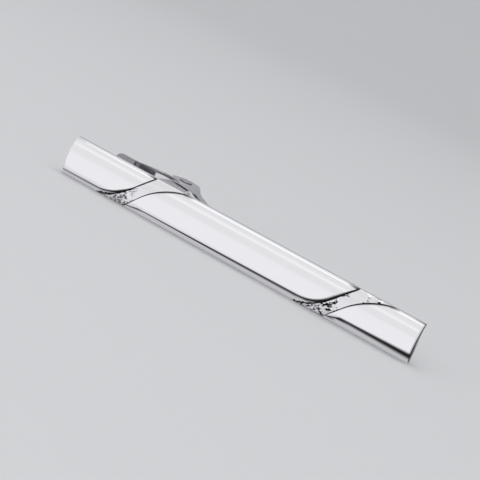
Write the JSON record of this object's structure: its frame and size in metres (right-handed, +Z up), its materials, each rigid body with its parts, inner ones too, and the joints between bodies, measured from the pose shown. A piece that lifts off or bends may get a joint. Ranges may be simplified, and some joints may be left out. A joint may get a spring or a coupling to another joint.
{
  "type": "tie clip",
  "caption": "Crowned metal tie bar with polished panels parted by slanting rough bands, and a sprung toothed clip hinged on its back that grips a tie to a shirt.",
  "frame": {"origin": "middle of the bar's flat back face", "axes": "+X along the bar, away from the hinge; +Y out of the bar's back, towards the clip; +Z up across the bar's width as worn"},
  "size_m": [0.06, 0.0143, 0.006],
  "materials": {
    "plated_strip": "rhodium-plated brass, polished on its edges and satin behind",
    "polished_chrome": "mirror-polished rhodium plate with very fine hairlines",
    "rough_silver": "crumpled, sparkling plated surface",
    "clip_sheet": "plated stamped sheet, tumbled to a soft shine",
    "pin_steel": "turned and riveted steel",
    "spring_steel": "drawn spring wire"
  },
  "bodies": {
    "bar": {"base_bar": "plated_strip", "left_panel": "polished_chrome", "middle_panel": "polished_chrome", "right_panel": "polished_chrome", "left_inlay": "rough_silver", "right_inlay": "rough_silver", "clip_bracket": "clip_sheet", "hinge_pin": "pin_steel", "torsion_spring": "spring_steel"},
    "lever": {"clip_lever": "clip_sheet"}
  },
  "joints": [
    {"name": "lever_hinge", "type": "hinge", "parent": "bar", "child": "lever", "pos_m": [-0.0156, 0.01005, 0], "axis": [0, 0, 1], "range_deg": [0, 25], "stiffness_Nm_per_rad": 0.12, "springref_deg": -34.38, "deforming": ["torsion_spring"]}
  ]
}
